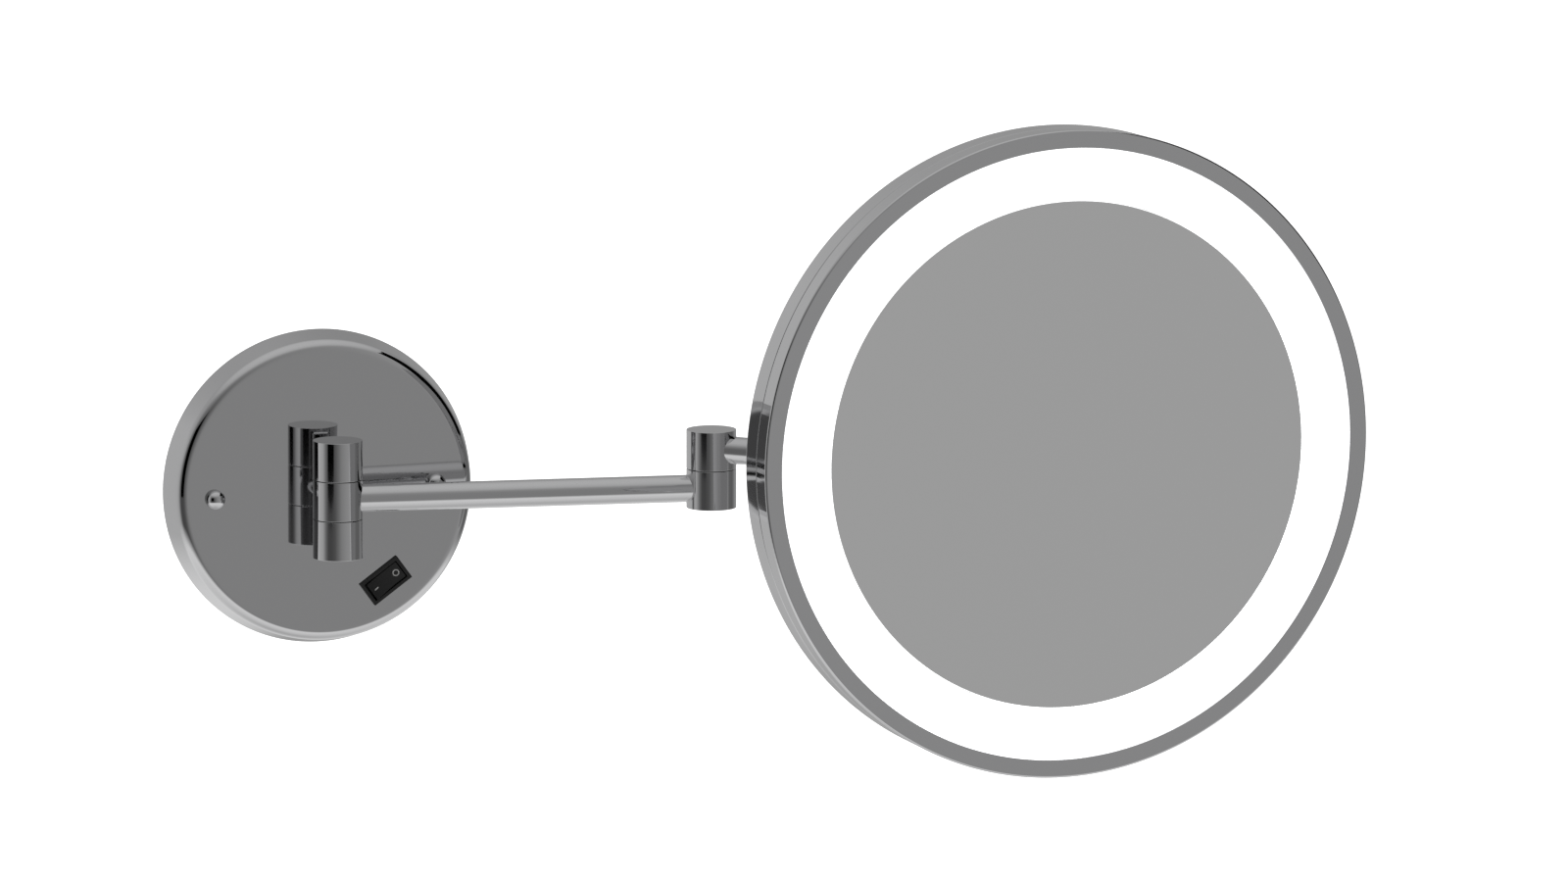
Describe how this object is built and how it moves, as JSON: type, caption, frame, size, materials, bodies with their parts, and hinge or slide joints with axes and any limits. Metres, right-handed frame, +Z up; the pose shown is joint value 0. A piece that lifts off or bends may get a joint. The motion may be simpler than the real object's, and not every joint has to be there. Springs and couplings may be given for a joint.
{
  "type": "extendable shaving mirror",
  "caption": "Round lit mirror with a white light ring on a double swing arm with upright knuckles, reaching out from a round chrome wall plate that carries a rocker switch.",
  "frame": {"origin": "centre of the wall bracket's back face, on the wall", "axes": "+Y into the wall, -Y out into the room, +Z up, +X along the wall to the right as seen from the room"},
  "size_m": [0.4329, 0.201, 0.25],
  "materials": {
    "chrome": "polished chrome plate",
    "steel": "zinc-plated steel",
    "aluminium": "spun sheet",
    "brass": "turned",
    "black_plastic": "moulded, satin",
    "white_plastic": "moulded",
    "acetal": "stamped washer",
    "rubber": "moulded seal",
    "opal_acrylic": "opal light diffuser",
    "mirror": "silvered glass",
    "foam": "closed-cell foam",
    "circuit_board": "white solder mask"
  },
  "bodies": {
    "wall": {"wall_bracket": "steel", "wall_seal": "rubber", "wall_plate": "chrome", "cover_screw_left": "chrome", "cover_screw_right": "chrome", "led_driver": "black_plastic", "terminal_block": "white_plastic", "switch_body": "black_plastic", "hinge_yoke": "chrome", "hinge_strap": "steel", "yoke_nut": "brass", "wall_hinge_pin": "steel", "wall_hinge_cap": "chrome", "wall_washer_lower": "acetal"},
    "rocker": {"switch_rocker": "black_plastic"},
    "inner_arm": {"inner_arm_hub": "chrome", "wall_washer_upper": "acetal", "inner_arm_tube": "chrome", "inner_arm_lead": "black_plastic", "elbow_lower_barrel": "chrome", "elbow_pin": "steel", "elbow_cap": "chrome", "elbow_washer": "acetal"},
    "outer_arm": {"elbow_upper_barrel": "chrome", "outer_arm_tube": "chrome", "outer_arm_lead": "black_plastic", "swivel_lower_barrel": "chrome", "swivel_pin": "steel", "swivel_cap": "chrome", "swivel_washer": "acetal"},
    "head_swivel": {"swivel_upper_barrel": "chrome", "tilt_clevis": "chrome", "tilt_bolt": "chrome", "tilt_nut": "chrome"},
    "head": {"tilt_lug": "chrome", "tilt_washer_left": "acetal", "tilt_washer_right": "acetal", "flange_screw_1": "steel", "flange_screw_2": "steel", "flange_screw_3": "steel", "flange_screw_4": "steel", "back_shell": "chrome", "head_stiffener": "steel", "light_pan": "aluminium", "led_board": "circuit_board", "mirror_cushion": "foam", "mirror_glass": "mirror", "light_diffuser": "opal_acrylic", "bezel_gasket": "rubber", "bezel_ring": "chrome", "shell_screw_1": "steel", "shell_screw_2": "steel", "shell_screw_3": "steel", "shell_screw_4": "steel", "shell_screw_5": "steel", "shell_screw_6": "steel"}
  },
  "joints": [
    {"name": "rocker_tip", "type": "hinge", "parent": "wall", "child": "rocker", "pos_m": [0.02373, -0.0143, -0.03586], "axis": [-0.5878, 0, 0.809], "range_deg": [-12, 0]},
    {"name": "wall_swivel", "type": "hinge", "parent": "wall", "child": "inner_arm", "pos_m": [0, -0.0332, 0], "axis": [0, 0, -1], "range_deg": [-5, 130]},
    {"name": "elbow", "type": "hinge", "parent": "inner_arm", "child": "outer_arm", "pos_m": [0.14499, -0.04537, 0.00765], "axis": [0, 0, 1], "range_deg": [-80, 30]},
    {"name": "head_swivel", "type": "hinge", "parent": "outer_arm", "child": "head_swivel", "pos_m": [0.24086, -0.13019, 0.02295], "axis": [0, 0, -1], "range_deg": [-80, 50]},
    {"name": "head_tilt", "type": "hinge", "parent": "head_swivel", "child": "head", "pos_m": [0.24364, -0.15, 0.0306], "axis": [0.9903, 0.1392, 0], "range_deg": [-30, 30]}
  ]
}
